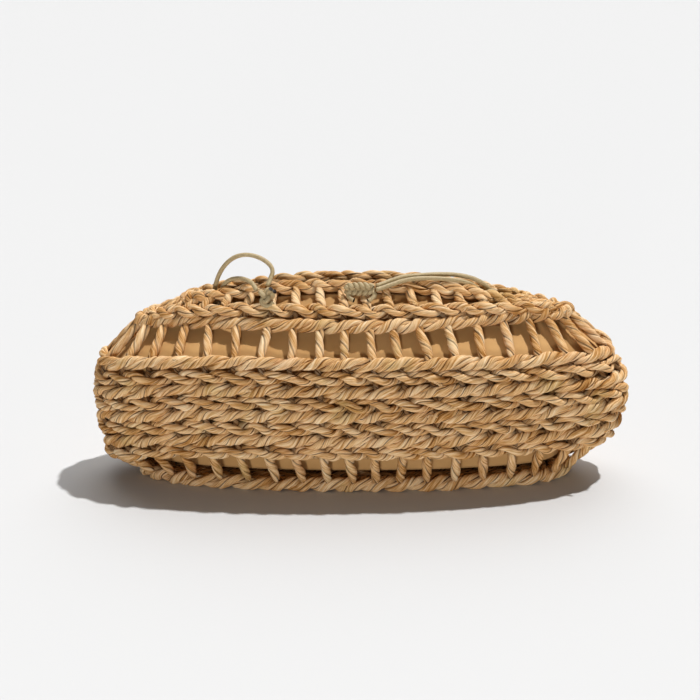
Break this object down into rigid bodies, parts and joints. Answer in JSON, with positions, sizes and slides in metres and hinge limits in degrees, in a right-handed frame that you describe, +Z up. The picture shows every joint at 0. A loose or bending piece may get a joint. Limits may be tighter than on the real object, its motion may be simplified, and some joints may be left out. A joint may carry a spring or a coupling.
{
  "type": "woven handbag",
  "caption": "Soft oblong handbag of twined straw rope with open bands, a slit mouth, and a cloth drawstring pouch inside.",
  "frame": {"origin": "on the floor, under the middle of the woven shell", "axes": "+X along the bag to the viewer's right, +Y from the front to the back, +Z up"},
  "size_m": [0.3319, 0.1146, 0.144],
  "materials": {
    "straw": "matt twisted straw rope",
    "straw_base": "matt twisted straw rope",
    "lining": "plain cotton cloth",
    "cord": "smooth waxed cotton cord"
  },
  "bodies": {
    "root": {"base_weave": "straw_base", "belly_weave": "straw", "shoulder_braid": "straw", "rim_braid": "straw", "lining_pouch": "lining", "left_knot": "cord", "right_knot": "cord", "left_cord_a": "cord", "left_cord_b": "cord", "right_cord_a": "cord", "right_cord_b": "cord"}
  },
  "joints": []
}
